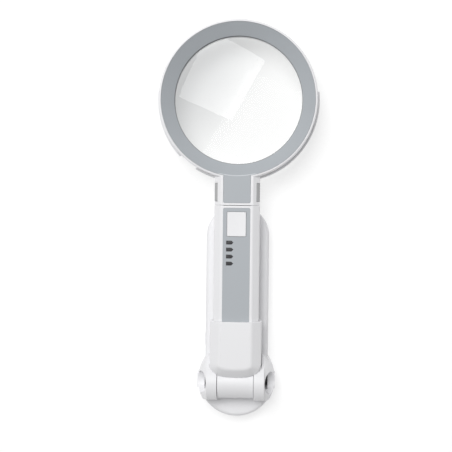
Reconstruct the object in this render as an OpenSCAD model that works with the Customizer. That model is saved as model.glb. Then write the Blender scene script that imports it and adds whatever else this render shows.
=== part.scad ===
// Low vision magnifier: an illuminated lens head that plugs onto a battery handle.
// The handle stands in a cup, and the cup folds on a hinge at the foot of a weighted base.
// Shown folded flat: X runs across, Y runs towards the lens and Z is up from the table.

/* [Overall] */
// Length from the rim of the lens head to the edge of the foot
overall_l = 282.6; // [278:0.2:288]
// Wall of the moulded shells
wall = 1.8; // [1.5:0.1:2]

/* [Lens head] */
// Outside diameter of the head's front rim
head_d = 111.6; // [111.2:0.1:113]
// Width of the white rim round the bezel
rim_w = 1.7; // [1.4:0.1:2]
// Clear opening of the bezel
opening_d = 90.2; // [88:0.2:91]
// Height of the bezel's inner edge
bezel_inner_z = 27.6; // [27.2:0.1:28]
// Height of the bezel's outer edge
bezel_outer_z = 35.6; // [35:0.1:35.8]
// Diameter of the lens
lens_d = 93.6; // [93:0.1:93.7]
// Thickness of the lens at its edge
lens_edge_t = 2.5; // [2:0.1:2.6]
// Radius of each polished face of the lens
lens_face_r = 209; // [205:1:400]
// Top of the head's rim above the table
head_top_z = 36; // [35.9:0.1:36.3]
// Height of the joint between the head's two shells
split_z = 27; // [26.9:0.1:27.1]
// Underside of the head above the table
head_bottom_z = 18; // [17.8:0.1:18.1]
// Diameter of the raised grip band round the lower half of the rear shell
band_d = 114.8; // [113.2:0.2:116]
// Angle above the horizontal at which the grip band starts on both sides
band_start = 6.5; // [2:0.5:12]
// Start of the thumb notch in the grip band, in degrees below the right-hand side
notch_start = 121.6; // [118:0.2:124]
// End of the thumb notch in the grip band
notch_end = 136.5; // [132:0.5:142]
// Number of lamps in the light ring
lamp_count = 24; // [12:12:24]

/* [Neck] */
// Distance from the middle of the lens to the joint with the handle
neck_l = 74.5; // [73.5:0.1:75.5]
// Width of the neck
neck_w = 31.8; // [31.4:0.1:32.4]
// Underside of the neck above the table
neck_bottom_z = 17.5; // [17.3:0.1:17.8]
// Width of the visible joint between head and handle
seam_gap = 0.3; // [0.1:0.1:0.5]
// Length of each side release button
release_l = 12.7; // [10:0.1:13]
// Travel of each side release button
release_travel = 1; // [0.5:0.1:1]

/* [Handle] */
// Width of the handle
handle_w = 32; // [31.8:0.1:32]
// Underside of the handle above the table
handle_bottom_z = 16.5; // [16.4:0.1:16.6]
// Front face of the handle above the table
handle_top_z = 36.5; // [36.4:0.1:36.6]
// Chamfer along the handle's front edges
front_chamfer = 4.6; // [4:0.1:4.8]
// Chamfer along the handle's back edges
rear_chamfer = 5; // [4.6:0.1:5.4]
// Width of the grey panels on the handle and the neck
panel_w = 19; // [18:0.1:19.4]
// Thickness of the grey panels
panel_t = 0.85; // [0.6:0.05:0.9]
// Width of the power button
button_w = 13.3; // [12:0.1:13.6]
// Length of the power button
button_l = 17.2; // [14:0.1:17.4]
// Travel of the power button
button_travel = 0.8; // [0.4:0.1:0.8]
// Number of battery level windows
window_count = 4; // [2:1:4]
// Spacing of the battery level windows
window_pitch = 4.9; // [4:0.1:4.9]
// Diameter of the battery cell
cell_d = 14.2; // [13.8:0.1:14.3]
// Length of the battery cell
cell_l = 50; // [45:0.5:50]

/* [Cup] */
// Width of the cup
cup_w = 36.4; // [36.2:0.1:36.8]
// Front face of the cup above the table
cup_top_z = 39.2; // [38.8:0.1:39.4]
// Back face of the cup above the table
cup_bottom_z = 14.4; // [14.2:0.1:14.6]
// Play of the handle in the cup on each side
cup_play = 0.25; // [0.15:0.05:0.3]

/* [Hinge] */
// Height of the hinge axis above the table
hinge_z = 22.5; // [22.4:0.1:22.6]
// Diameter of the cup's barrel
barrel_d = 22; // [21.4:0.1:22]
// Width of the cup's barrel
barrel_w = 25.5; // [25:0.1:25.6]
// Diameter of the two ears on the base
ear_d = 25; // [24.8:0.1:25]
// Diameter of the hinge bolt
bolt_d = 4; // [3:0.1:4.2]
// Diameter of the troughs that give access to the ends of the bolt
trough_d = 16; // [14:0.2:16.4]

/* [Base] */
// Width of the slab behind the handle
slab_w = 45.2; // [44.8:0.1:45.6]
// Diameter of the round foot
foot_d = 55; // [54.6:0.1:55.4]
// Height of the slab's top face above the table
base_top_z = 13.5; // [13.4:0.1:13.6]
// Radius along the base's top edge
base_edge_r = 2.4; // [1.5:0.1:2.6]
// Distance from the middle of the lens to the slab's round end
slab_end = 73.8; // [72:0.2:76]
// Thickness of the base's bottom cover
cover_t = 1.5; // [1.2:0.1:1.6]
// Height of the rubber feet
feet_h = 1; // [0.9:0.1:1.1]

/* [Hidden] */
$fn = 96;
eps = 0.01;

head_r = head_d / 2;
head_y = overall_l / 2 - head_r;
bezel_r = head_r - rim_w;
opening_r = opening_d / 2;
bezel_slope = (bezel_outer_z - bezel_inner_z) / (bezel_r - opening_r);
bezel_t = 1.74;
lens_r = lens_d / 2;
lens_front_z = 26.4;
lens_rear_z = lens_front_z - lens_edge_t;
lens_sag = lens_face_r - sqrt(pow(lens_face_r, 2) - pow(lens_r, 2));
gasket_r = lens_r + 1.6;
seat_z = 22.85;
board_top_z = 22.8;
board_t = 1.4;
ledge_z = 19.65;
ledge_top_z = 21.3;
diffuser_in = 47.3;
diffuser_out = 53.1;
ring_wall_in = head_r - 1.7;
lamp_ring_r = 51;
rib_count = 6;

seam_y = head_y - neck_l;
neck_y0 = seam_y + seam_gap / 2;
handle_y1 = seam_y - seam_gap / 2;
neck_chamfer = 4.45;
release_y = seam_y + 9.25;
release_x0 = 12.9;
release_z0 = 21;
release_z1 = 33.4;
head_screw = [9, seam_y + 18.2];

foot_r = foot_d / 2;
foot_y = foot_r - overall_l / 2;
hinge_y = foot_y - 1.4;
handle_y0 = hinge_y + 16.5;
cup_floor_y = handle_y0 - cup_play;
cup_y0 = hinge_y + 4.5;
cup_y1 = hinge_y + 44.8;
cup_front_chamfer = 6.7;
cup_rear_chamfer = 5.5;
cup_bevel_r = 25;
cup_bevel_y = cup_y0 + 5.9;
cup_corner_r = 7;

tongue_w = 19.6;
tongue_z0 = 22;
tongue_z1 = 31.2;
tongue_tip_y = seam_y + 11.85;
flange_y0 = handle_y1 - 6.9;
flange_y1 = handle_y1 - wall - eps;
pin_z = 27.9;
pin_r = 0.8;
pin_tip_y = seam_y + 13.65;

button_y = seam_y - 13.05;
button_top_z = handle_top_z + 0.4;
button_flange_t = 1.2;
button_flange_z = handle_top_z - wall - 0.1;
switch_body_t = 4;
window_x0 = -7.1;
window_x1 = -2.1;
window_h = 2.6;
window_y1 = seam_y - 25.95;
switch_board_z = 27;
board_y0 = seam_y - 44.25;
board_y1 = seam_y - 7.95;
cell_y1 = board_y0 - 6.65;
cell_tip = 1;
cell_z = 25.5;
usb_y1 = handle_y0 + 7.4;
usb_z0 = 23.65;
wire_r = 0.6;
wire_x = 10.3;
wire_y0 = handle_y0 + 8.3;

ear_in = 13.1;
ear_out = 20.5;
barrel_r = barrel_d / 2;
ear_r = ear_d / 2;
bolt_r = bolt_d / 2;
bush_r = bolt_r + 1.5;
ear_gap = 0.4;
bolt_recess = 3.2;
bolt_recess_r = 4.1;

ramp_l = 21.7;
dome_r = 25;
dome_out = 27.5;
lip_w = 56.2;
lip_l = 10.6;

slab_r = slab_w / 2;
swelling_r = 17;
swelling_out = 0.75;
swelling_y = hinge_y + 29.5;
slab_y1 = head_y - slab_end - slab_r;
cover_z1 = feet_h + cover_t;
weight_t = 5.5;
base_screws_at = [[0, slab_y1 + 13.6], [0, -45], [-17, foot_y + 21.8], [17, foot_y + 21.8], [0, foot_y - 22.2]];
feet_at = [[-12, slab_y1 + 8], [12, slab_y1 + 8], [-15, foot_y - 12], [15, foot_y - 12]];
handle_screws_at = [
  [-8.2, handle_y1 - 4.4], [8.2, handle_y1 - 4.4], [0, board_y0 - 2.75],
  [-8.2, handle_y0 + 5.2], [8.2, handle_y0 + 5.2]
];

white = "#f4f4f6";
grey = "#a9aeb3";
dark = "#5c6064";

// ---- shared shapes ----

// Extrudes an X-Z section along Y.
module along_y(from, to)
  translate([0, to, 0])
    rotate([90, 0, 0])
      linear_extrude(to - from)
        children();

// Extrudes a Y-Z section along X.
module along_x(from, to)
  translate([from, 0, 0])
    rotate([90, 0, 90])
      linear_extrude(to - from)
        children();

module between_z(from, to)
  translate([0, 0, from])
    linear_extrude(to - from)
      children();

// Puts its children on the optical axis.
module at_lens()
  translate([0, head_y, 0])
    children();

module at_hinge()
  translate([hinge_y, hinge_z])
    children();

// Eight-sided section with 45 degree chamfers, drawn in from its outline by inset.
module octagon(w, z0, z1, front, rear, inset = 0) {
  x = w / 2 - inset;
  low = z0 + inset;
  high = z1 - inset;
  f = front - 0.586 * inset;
  r = rear - 0.586 * inset;
  polygon([
    [-x, low + r], [r - x, low], [x - r, low], [x, low + r],
    [x, high - f], [x - f, high], [f - x, high], [-x, high - f]
  ]);
}

module handle_section(inset = 0)
  octagon(handle_w, handle_bottom_z, handle_top_z, front_chamfer, rear_chamfer, inset);

module neck_section(inset = 0)
  octagon(neck_w, neck_bottom_z, head_top_z, neck_chamfer, neck_chamfer, inset);

module above(z)
  translate([-100, z])
    square([200, 100]);

module below(z)
  translate([-100, z - 100])
    square([200, 100]);

module rounded_rect(w, l, r) {
  square([w - 2 * r, l], center = true);
  square([w, l - 2 * r], center = true);
  for (x = [-1, 1], y = [-1, 1])
    translate([x * (w / 2 - r), y * (l / 2 - r)])
      circle(r, $fn = 48);
}

function bezel_z(r) = bezel_inner_z + (r - opening_r) * bezel_slope;

// ---- lens head ----

module front_ring_section() {
  skirt_in = gasket_r + 0.1;
  skirt_out = skirt_in + 1.5;
  polygon([
    [head_r, split_z], [head_r, head_top_z - 0.9], [head_r - 0.7, head_top_z],
    [bezel_r + 0.1, head_top_z], [bezel_r + 0.1, bezel_z(bezel_r) - bezel_t - 0.1],
    [skirt_in, bezel_z(skirt_in) - bezel_t - 0.1], [skirt_in, board_top_z],
    [skirt_out, board_top_z], [skirt_out, bezel_z(skirt_out) - bezel_t - 1.8],
    [ring_wall_in, bezel_z(ring_wall_in) - bezel_t - 1.8], [ring_wall_in, split_z]
  ]);
}

// The neck, cut off where it meets the ring's outer wall.
module neck_block(inset)
  difference() {
    along_y(neck_y0 + (inset > 0 ? wall : 0), head_y - 35)
      neck_section(inset);
    at_lens()
      cylinder(r = head_r + (inset > 0 ? 0.4 : -1.2), h = 60);
  }

module tongue_mouth()
  along_y(neck_y0 - 1, neck_y0 + wall + 1)
    translate([-tongue_w / 2 - 0.2, tongue_z0 - 0.2])
      square([tongue_w + 0.4, tongue_z1 - tongue_z0 + 0.4]);

// Side openings, deep enough for the buttons to be pressed right in.
module release_slots()
  for (side = [-1, 1])
    translate([side * neck_w / 2, release_y, (release_z0 + release_z1) / 2])
      cube([neck_w - 2 * (release_x0 - release_travel - 0.2), release_l + 0.3,
        release_z1 - release_z0 + 0.3], center = true);

module head_screw_bosses(z0, z1, r)
  for (side = [-1, 1])
    translate([side * head_screw.x, head_screw.y, z0])
      cylinder(r = r, h = z1 - z0);

module neck_panel_outline(grow)
  translate([0, (seam_y + 1.75 + head_y - bezel_r) / 2 + 1])
    rounded_rect(panel_w + 2 * grow, head_y - bezel_r - seam_y + 0.25 + 2 * grow, 1.2 + grow);

module head_front_shell()
  color(white)
    difference() {
      union() {
        at_lens()
          rotate_extrude()
            front_ring_section();
        difference() {
          neck_block(0);
          neck_block(wall);
          between_z(0, split_z)
            square(400, center = true);
        }
        head_screw_bosses(split_z, head_top_z - wall + eps, 2.3);
      }
      between_z(head_top_z - panel_t - 0.05, head_top_z + 1)
        neck_panel_outline(0.05);
      head_screw_bosses(split_z - 1, 32, 1.05);
      tongue_mouth();
      release_slots();
    }

module rear_ring_section() {
  polygon([
    [diffuser_out + 0.1, head_bottom_z], [head_r - 0.8, head_bottom_z],
    [head_r, head_bottom_z + 0.8], [head_r, split_z], [ring_wall_in, split_z],
    [ring_wall_in, ledge_top_z], [diffuser_out - 0.5, ledge_top_z],
    [diffuser_out - 0.5, ledge_z], [diffuser_out + 0.1, ledge_z]
  ]);
  polygon([
    [opening_r + 0.5, head_bottom_z + 0.4], [opening_r + 0.9, head_bottom_z],
    [diffuser_in - 0.1, head_bottom_z], [diffuser_in - 0.1, ledge_z],
    [diffuser_in + 0.6, ledge_z], [diffuser_in + 0.6, ledge_top_z], [gasket_r, ledge_top_z],
    [gasket_r, seat_z], [opening_r + 0.5, seat_z]
  ]);
}

// Raised grip band round the lower half of the head, with its thumb notch.
module grip_band() {
  r = band_d / 2;
  difference() {
    at_lens()
      rotate_extrude()
        polygon([
          [head_r - 1.3, head_bottom_z + 0.3], [r - 0.7, head_bottom_z + 0.3],
          [r, head_bottom_z + 1], [r, split_z - 1.7], [r - 0.7, split_z - 1],
          [head_r - 1.3, split_z - 1]
        ]);
    translate([-100, head_y + r * sin(band_start), 0])
      cube([200, 100, 50]);
    at_lens()
      between_z(0, 50)
        polygon([
          [0, 0], 80 * [cos(notch_start), -sin(notch_start)], 80 * [cos(notch_end), -sin(notch_end)]
        ]);
    along_y(seam_y, head_y - 20)
      neck_section(0.5);
  }
}

module head_rear_shell()
  color(white)
    difference() {
      union() {
        at_lens()
          rotate_extrude()
            rear_ring_section();
        at_lens()
          for (i = [0:rib_count - 1])
            rotate([0, 0, 30 + 7.5 + i * 360 / rib_count])
              translate([diffuser_in + 0.3, -0.6, ledge_z + 0.1])
                cube([diffuser_out - diffuser_in - 0.6, 1.2, ledge_top_z - ledge_z - 0.2]);
        grip_band();
        difference() {
          neck_block(0);
          neck_block(wall);
          between_z(split_z, 60)
            square(400, center = true);
        }
        head_screw_bosses(neck_bottom_z + 1, split_z, 2.3);
      }
      // Way from the neck into the light ring, for the board's tab
      translate([-5, head_screw.y - 2, ledge_top_z + 0.05])
        cube([10, 9, 10]);
      head_screw_bosses(neck_bottom_z - 1, 20.5, 2);
      head_screw_bosses(neck_bottom_z, split_z + 1, 1.05);
      tongue_mouth();
      release_slots();
    }

module lens_bezel()
  color(grey)
    union() {
      at_lens()
        rotate_extrude()
          polygon([
            [opening_r, bezel_inner_z], [bezel_r, bezel_outer_z], [bezel_r, bezel_outer_z - bezel_t],
            [opening_r + 1.3, bezel_z(opening_r + 1.3) - bezel_t], [opening_r, split_z]
          ]);
      difference() {
        between_z(head_top_z - panel_t, head_top_z - 0.05)
          neck_panel_outline(0);
        at_lens()
          cylinder(r = bezel_r - 0.5, h = 60);
      }
    }

module magnifier_lens()
  color("#dfeaf0", 0.35)
    at_lens()
      intersection() {
        translate([0, 0, lens_rear_z - lens_sag])
          cylinder(r = lens_r, h = lens_edge_t + 2 * lens_sag);
        translate([0, 0, lens_front_z + lens_sag - lens_face_r])
          sphere(lens_face_r);
        translate([0, 0, lens_rear_z - lens_sag + lens_face_r])
          sphere(lens_face_r);
      }

module lens_gasket()
  color("#d8dadb")
    at_lens()
      rotate_extrude()
        polygon([
          [opening_r + 0.5, seat_z + 0.05], [gasket_r, seat_z + 0.05], [gasket_r, 26.7],
          [lens_r + 0.1, 26.7], [lens_r + 0.1, lens_rear_z - 0.4], [opening_r + 0.5, lens_rear_z - 0.4]
        ]);

module light_ring_board()
  color("#e8ece6")
    difference() {
      union() {
        at_lens()
          between_z(board_top_z - board_t, board_top_z)
            circle(ring_wall_in - 0.2);
        translate([-4, pin_tip_y + 0.2, board_top_z - board_t])
          cube([8, head_screw.y - pin_tip_y + 6, board_t]);
      }
      at_lens()
        cylinder(r = gasket_r + 0.2, h = 60);
    }

module light_ring_lamps()
  color("#f2e6a8")
    at_lens()
      for (i = [0:lamp_count - 1])
        rotate([0, 0, i * 360 / lamp_count])
          translate([lamp_ring_r, 0, board_top_z - board_t - 0.6])
            cube([2.8, 3.5, 1.2], center = true);

module light_diffuser()
  color("#f8f8f4")
    at_lens()
      rotate_extrude()
        polygon([
          [diffuser_in, head_bottom_z + 0.4], [diffuser_out, head_bottom_z + 0.4],
          [diffuser_out, ledge_z - 0.05], [diffuser_in, ledge_z - 0.05]
        ]);

module head_contact_block()
  color("#2f3336")
    translate([-5.5, pin_tip_y + 0.05, board_top_z + 0.05])
      cube([11, 4.3, 7.6]);

module head_screws()
  color("silver")
    for (side = [-1, 1])
      translate([side * head_screw.x, head_screw.y, 0]) {
        translate([0, 0, 18.9])
          cylinder(r = 1.85, h = 1.6);
        translate([0, 0, 20])
          cylinder(r = 1, h = 11.5);
      }

module latch_springs()
  color("silver")
    for (side = [0, 1])
      mirror([side, 0, 0])
        translate([0, release_y, 24.5])
          linear_extrude(4)
            polygon([
              [2.1 - release_x0, -5.2], [0.2 - release_x0, 0], [2.1 - release_x0, 5.2],
              [2.5 - release_x0, 5.2], [0.7 - release_x0, 0], [2.5 - release_x0, -5.2]
            ]);

module release_button()
  color(dark)
    union() {
      intersection() {
        along_y(release_y - release_l / 2, release_y + release_l / 2)
          neck_section(0);
        translate([release_x0, release_y - 20, release_z0])
          cube([10, 40, release_z1 - release_z0]);
      }
      translate([release_x0, release_y - release_l / 2 - 0.9, release_z0 + 1.9])
        cube([0.9, release_l + 1.8, 7.8]);
    }

module release_button_right()
  release_button();

module release_button_left()
  mirror([1, 0, 0])
    release_button();

// ---- handle ----

module handle_bosses(z0, z1, r)
  for (at = handle_screws_at)
    translate([at.x, at.y, z0])
      cylinder(r = r, h = z1 - z0);

module tongue_room()
  along_y(flange_y0 - 0.1, handle_y1 + 1)
    translate([-tongue_w / 2 - 0.15, tongue_z0 - 0.15])
      square([tongue_w + 0.3, tongue_z1 - tongue_z0 + 0.3]);

module flange_room()
  translate([-13, flange_y0 - 0.05, tongue_z0 - 0.5])
    cube([26, flange_y1 - flange_y0 + 0.05, tongue_z1 - tongue_z0 + 1]);

module window_outline(grow)
  for (i = [0:window_count - 1])
    translate([0, window_y1 - i * window_pitch])
      polygon([
        [window_x0 - grow, -window_h / 2 - grow], [window_x1 - 1.3, -window_h / 2 - grow],
        [window_x1 + grow, 0], [window_x1 - 1.3, window_h / 2 + grow],
        [window_x0 - grow, window_h / 2 + grow]
      ]);

module handle_panel_outline(grow)
  translate([0, (handle_y1 - 1.5 + handle_y0 + 4) / 2])
    rounded_rect(panel_w + 2 * grow, handle_y1 - handle_y0 - 5.5 + 2 * grow, 1.2 + grow);

module button_outline(grow)
  translate([0, button_y])
    rounded_rect(button_w + 2 * grow, button_l + 2 * grow, 0.8 + grow);

module handle_front_shell()
  color(white)
    difference() {
      union() {
        difference() {
          along_y(handle_y0, handle_y1)
            intersection() {
              handle_section();
              above(split_z);
            }
          along_y(handle_y0 + wall, handle_y1 - wall)
            handle_section(wall);
        }
        handle_bosses(split_z, handle_top_z - wall + eps, 2.5);
      }
      between_z(handle_top_z - panel_t - 0.05, handle_top_z + 1)
        handle_panel_outline(0.05);
      between_z(handle_top_z - 3, handle_top_z)
        button_outline(0.2);
      between_z(handle_top_z - 3, handle_top_z)
        window_outline(0.1);
      handle_bosses(split_z - 1, 33.4, 1.05);
      tongue_room();
      flange_room();
    }

module usb_outline(grow)
  union() {
    square([5.64 + 2 * grow, 3.26 + 2 * grow], center = true);
    for (side = [-1, 1])
      translate([side * 2.82, 0])
        circle(1.63 + grow);
  }

module handle_rear_shell()
  color(white)
    difference() {
      union() {
        difference() {
          along_y(handle_y0, handle_y1)
            intersection() {
              handle_section();
              below(split_z);
            }
          along_y(handle_y0 + wall, handle_y1 - wall)
            handle_section(wall);
        }
        handle_bosses(handle_bottom_z + 1, split_z, 2.5);
        for (x = [-8.5, 8.5], y = [board_y0 + 5, board_y1 - 11])
          translate([x, y, handle_bottom_z + 1])
            cylinder(r = 1.5, h = switch_board_z - 1.4 - handle_bottom_z - 1);
      }
      handle_bosses(handle_bottom_z - 1, 18.8, 2);
      handle_bosses(handle_bottom_z, split_z + 1, 1.05);
      tongue_room();
      flange_room();
      along_y(handle_y0 - 1, handle_y0 + wall + 1)
        translate([0, usb_z0 + 1.63])
          usb_outline(0.12);
    }

module handle_panel()
  color(grey)
    difference() {
      between_z(handle_top_z - panel_t, handle_top_z)
        handle_panel_outline(0);
      between_z(handle_top_z - 3, handle_top_z + 1)
        button_outline(0.2);
      between_z(handle_top_z - 3, handle_top_z + 1)
        window_outline(0.05);
    }

module battery_level_windows()
  color("#4a4e52")
    between_z(28.8, handle_top_z - 0.05)
      window_outline(0);

module battery_level_lamps()
  color("#f2e6a8")
    for (i = [0:window_count - 1])
      translate([(window_x0 + window_x1) / 2, window_y1 - i * window_pitch, switch_board_z + 0.5])
        cube([3, 1.6, 1], center = true);

module power_switch()
  color("#2f3336")
    translate([0, button_y, 0]) {
      translate([-3, -3, switch_board_z])
        cube([6, 6, switch_body_t]);
      between_z(switch_board_z + switch_body_t - 0.1,
          button_flange_z - button_flange_t - button_travel - 0.1)
        circle(1.75);
    }

module control_board()
  color("#2f7d4f")
    translate([-11, board_y0, switch_board_z - 1.4])
      cube([22, board_y1 - board_y0, 1.4]);

module battery_cell()
  color("#5f9ec4")
    translate([0, cell_y1, cell_z])
      rotate([90, 0, 0])
        union() {
          cylinder(d = cell_d, h = cell_l - cell_tip);
          translate([0, 0, -cell_tip])
            cylinder(d = 5.5, h = 2 * cell_tip);
        }

module charge_board()
  color("#2f7d4f")
    translate([-5.1, handle_y0 + wall + 0.2, usb_z0 - 1])
      cube([10.2, 7, 1]);

module usb_socket()
  color("silver")
    translate([0, 0, usb_z0 + 1.63]) {
      difference() {
        along_y(handle_y0 + 0.1, usb_y1)
          usb_outline(0);
        along_y(handle_y0, usb_y1 - 0.8)
          usb_outline(-0.3);
      }
      translate([-3.35, handle_y0 + 1, -0.35])
        cube([6.7, 6, 0.7]);
    }

module handle_wires()
  color("#b04038")
    for (side = [0, 1])
      mirror([side, 0, 0]) {
        along_y(wire_y0, board_y0 + 2)
          translate([wire_x, switch_board_z + wire_r])
            circle(wire_r);
        translate([wire_x, wire_y0, usb_z0 + wire_r])
          cylinder(r = wire_r, h = switch_board_z - usb_z0);
        along_x(4.3, wire_x)
          translate([wire_y0, usb_z0 + wire_r])
            circle(wire_r);
      }

module handle_tongue()
  color("#d5d8da")
    difference() {
      union() {
        along_y(flange_y0, tongue_tip_y)
          translate([-tongue_w / 2, tongue_z0])
            square([tongue_w, tongue_z1 - tongue_z0]);
        translate([-12, flange_y0, tongue_z0 - 0.45])
          cube([24, flange_y1 - flange_y0, tongue_z1 - tongue_z0 + 0.9]);
      }
      for (x = [-8.2, 8.2])
        translate([x, handle_y1 - 4.4, 0])
          cylinder(r = 1.1, h = 60);
      for (x = [-4, 0, 4])
        along_y(flange_y0 - 1, tongue_tip_y + 1)
          translate([x, pin_z])
            circle(pin_r + 0.05);
    }

module contact_pins()
  color("gold")
    for (x = [-4, 0, 4])
      along_y(board_y1 - 1.5, pin_tip_y)
        translate([x, pin_z])
          circle(pin_r);

module handle_screws()
  color("silver")
    for (at = handle_screws_at)
      translate([at.x, at.y, 0]) {
        translate([0, 0, 17.3])
          cylinder(r = 1.85, h = 1.4);
        translate([0, 0, 18.5])
          cylinder(r = 1, h = 14.7);
      }

module power_button()
  color(white)
    union() {
      between_z(handle_top_z - wall - 0.2, button_top_z)
        button_outline(0);
      // Flange that keeps the button in, short of the two screw bosses
      between_z(button_flange_z - button_flange_t, button_flange_z)
        intersection() {
          button_outline(0.9);
          translate([-button_w, handle_y1 - 7.3 - 2 * button_l])
            square([2 * button_w, 2 * button_l]);
        }
    }

// ---- cup and hinge ----

// Seen from above: straight sides and rounded lower corners.
module cup_plan() {
  translate([-cup_w / 2, cup_y0 + cup_corner_r])
    square([cup_w, cup_y1 - cup_y0 - cup_corner_r]);
  translate([cup_corner_r - cup_w / 2, cup_y0])
    square([cup_w - 2 * cup_corner_r, cup_corner_r + 1]);
  for (side = [-1, 1])
    translate([side * (cup_w / 2 - cup_corner_r), cup_y0 + cup_corner_r])
      circle(cup_corner_r);
}

module cup_body()
  intersection() {
    along_y(cup_y0, cup_y1)
      octagon(cup_w, cup_bottom_z, cup_top_z, cup_front_chamfer, cup_rear_chamfer);
    between_z(0, 60)
      cup_plan();
    // Curved 45 degree bevel across the front of the cup's lower end
    translate([0, cup_bevel_y + cup_bevel_r, 0])
      cylinder(r1 = cup_bevel_r + cup_top_z, r2 = cup_bevel_r, h = cup_top_z);
  }

module cradle_cup()
  color(white)
    difference() {
      union() {
        cup_body();
        along_x(-barrel_w / 2, barrel_w / 2)
          at_hinge()
            circle(barrel_r);
      }
      along_y(cup_floor_y, cup_y1 + 1)
        handle_section(-cup_play);
      for (side = [0, 1])
        mirror([side, 0, 0])
          along_x(barrel_w / 2, cup_w)
            at_hinge()
              circle(ear_r + ear_gap);
      along_x(-cup_w, cup_w)
        at_hinge()
          circle(bush_r);
    }

module hinge_bushings()
  color("#c9a35a")
    for (side = [0, 1])
      mirror([side, 0, 0])
        along_x(2, barrel_w / 2)
          at_hinge()
            difference() {
              circle(bush_r);
              circle(bolt_r + 0.05);
            }

module friction_washers()
  color("#3a3d40")
    for (side = [0, 1])
      mirror([side, 0, 0])
        along_x(barrel_w / 2 + 0.05, ear_in)
          at_hinge()
            difference() {
              circle(7);
              circle(bolt_r + 0.1);
            }

module hinge_bolt()
  color("silver")
    union() {
      along_x(-ear_out + 1.1, -ear_out + bolt_recess)
        at_hinge()
          circle(3.6);
      along_x(-ear_out + 2, ear_out - 1.2)
        at_hinge()
          circle(bolt_r);
    }

module hinge_nut()
  color("silver")
    along_x(ear_out - bolt_recess, ear_out - 1.1)
      at_hinge()
        difference() {
          circle(3.9, $fn = 6);
          circle(bolt_r + 0.02);
        }

module hinge_cap()
  color(white)
    along_x(ear_out - 1, ear_out)
      at_hinge()
        circle(bolt_recess_r - 0.05);

module hinge_cap_right()
  hinge_cap();

module hinge_cap_left()
  mirror([1, 0, 0])
    hinge_cap();

// ---- base ----

// Outline of the base from above, drawn in by inset.
module base_plan(inset) {
  translate([0, slab_y1])
    circle(slab_r - inset);
  translate([inset - slab_r, foot_y])
    square([slab_w - 2 * inset, slab_y1 - foot_y]);
  translate([0, foot_y])
    circle(foot_r - inset);
}

// Half section of the base's edge, with its rounded top.
module base_edge(r) {
  square([r - base_edge_r, base_top_z]);
  square([r, base_top_z - base_edge_r]);
  translate([r - base_edge_r, base_top_z - base_edge_r])
    circle(base_edge_r, $fn = 48);
}

module edge_disc(r)
  rotate_extrude()
    intersection() {
      base_edge(r);
      above(feet_h);
    }

module base_body() {
  translate([0, slab_y1, 0])
    edge_disc(slab_r);
  translate([0, foot_y, 0])
    edge_disc(foot_r);
  along_y(foot_y, slab_y1)
    intersection() {
      union() {
        base_edge(slab_r);
        mirror([1, 0])
          base_edge(slab_r);
      }
      above(feet_h);
    }
}

// Side view of the fairing: the ears' round and the ramp down to the slab.
module fairing_side() {
  ramp = [ramp_l, base_top_z - hinge_z];
  turn = atan2(ramp.y, ramp.x) + acos(ear_r / norm(ramp));
  at_hinge() {
    circle(ear_r);
    translate([-ear_r, -15])
      square([2 * ear_r, 15]);
    polygon([[0, 0], ear_r * [cos(turn), sin(turn)], ramp, [ramp.x, -15], [0, -15]]);
  }
}

module fairing() {
  intersection() {
    translate([0, hinge_y, base_top_z - 5])
      rotate_extrude()
        intersection() {
          square([60, 40]);
          union() {
            translate([dome_out - dome_r, 5])
              circle(dome_r);
            square([dome_out, 5]);
          }
        }
    along_x(-40, 40)
      fairing_side();
  }
  along_x(-ear_out, ear_out)
    intersection() {
      fairing_side();
      at_hinge()
        translate([-ear_r, -15])
          square([2 * ear_r, 15 + 2 * ear_r]);
    }
  // Lips below the two troughs, a little proud of the foot
  translate([0, hinge_y, (base_top_z + 4) / 2])
    cube([lip_w, lip_l, base_top_z - 2], center = true);
}

// Hollow between two stations along Y, left solid round the screws.
module base_hollow(from, to, top)
  difference() {
    between_z(feet_h, top)
      intersection() {
        base_plan(2);
        translate([-50, from])
          square([100, to - from]);
      }
    for (at = base_screws_at)
      translate([at.x, at.y, cover_z1])
        cylinder(r = 2.8, h = 20);
  }

module base_top_shell()
  color(white)
    difference() {
      union() {
        base_body();
        fairing();
        // Small swelling half way along the slab's left side
        intersection() {
          translate([swelling_r - slab_r - swelling_out, swelling_y, 3])
            cylinder(r = swelling_r, h = 8);
          translate([-slab_r - 2, hinge_y + 10, 0])
            cube([slab_r, 60, 20]);
        }
      }
      // Room for the barrel, and for the cup as it swings up
      along_x(-ear_in, ear_in)
        union() {
          at_hinge()
            circle(barrel_r + 0.6);
          translate([hinge_y - 30, base_top_z])
            square([70, 40]);
        }
      along_x(-cup_w / 2 - 0.4, cup_w / 2 + 0.4)
        difference() {
          translate([hinge_y, base_top_z])
            square([50, 40]);
          at_hinge()
            circle(ear_r);
        }
      // Bolt, its recesses and the troughs
      along_x(-ear_out - 1, ear_out + 1)
        at_hinge()
          circle(bolt_r + 0.05);
      for (side = [0, 1])
        mirror([side, 0, 0]) {
          along_x(ear_out - bolt_recess, ear_out + 1)
            at_hinge()
              circle(bolt_recess_r);
          along_x(ear_out, ear_out + 20)
            at_hinge()
              circle(trough_d / 2);
        }
      // Hollow underneath, lower below the hinge
      between_z(feet_h - 1, cover_z1)
        base_plan(1.2);
      base_hollow(foot_y + 16, slab_y1 + 50, base_top_z - 2);
      base_hollow(foot_y - 50, foot_y + 17, cover_z1 + weight_t + 0.4);
      for (at = base_screws_at)
        translate([at.x, at.y, 0])
          cylinder(r = 1.05, h = 7.8);
    }

module base_bottom_cover()
  color("#d9dadc")
    difference() {
      between_z(feet_h, cover_z1)
        base_plan(1.3);
      for (at = base_screws_at)
        translate([at.x, at.y, 0]) {
          cylinder(r = 1.2, h = 20);
          cylinder(r = 2.5, h = feet_h + 1);
        }
    }

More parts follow.
